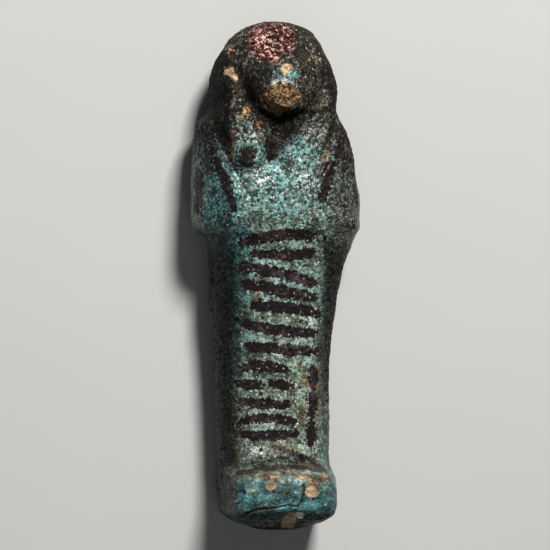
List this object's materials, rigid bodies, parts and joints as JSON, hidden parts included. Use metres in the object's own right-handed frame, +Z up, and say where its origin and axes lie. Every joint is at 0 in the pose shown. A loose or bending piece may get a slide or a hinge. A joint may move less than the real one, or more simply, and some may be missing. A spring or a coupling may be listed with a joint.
{
  "type": "ushabti figurine",
  "caption": "Small mummy-shaped tomb figurine with a long wig, folded arms and feet on a low toe block; it lies on its flattened back.",
  "frame": {"origin": "below the middle of the figure's bounding box, on the surface that its back rests on", "axes": "+Y along the body from the feet to the crown, +Z up out of the figure's front, +X across, towards the figure's own left side"},
  "size_m": [0.0332, 0.1, 0.0252],
  "materials": {
    "faience_glaze": "matte"
  },
  "bodies": {
    "root": {"figure": "faience_glaze"}
  },
  "joints": []
}
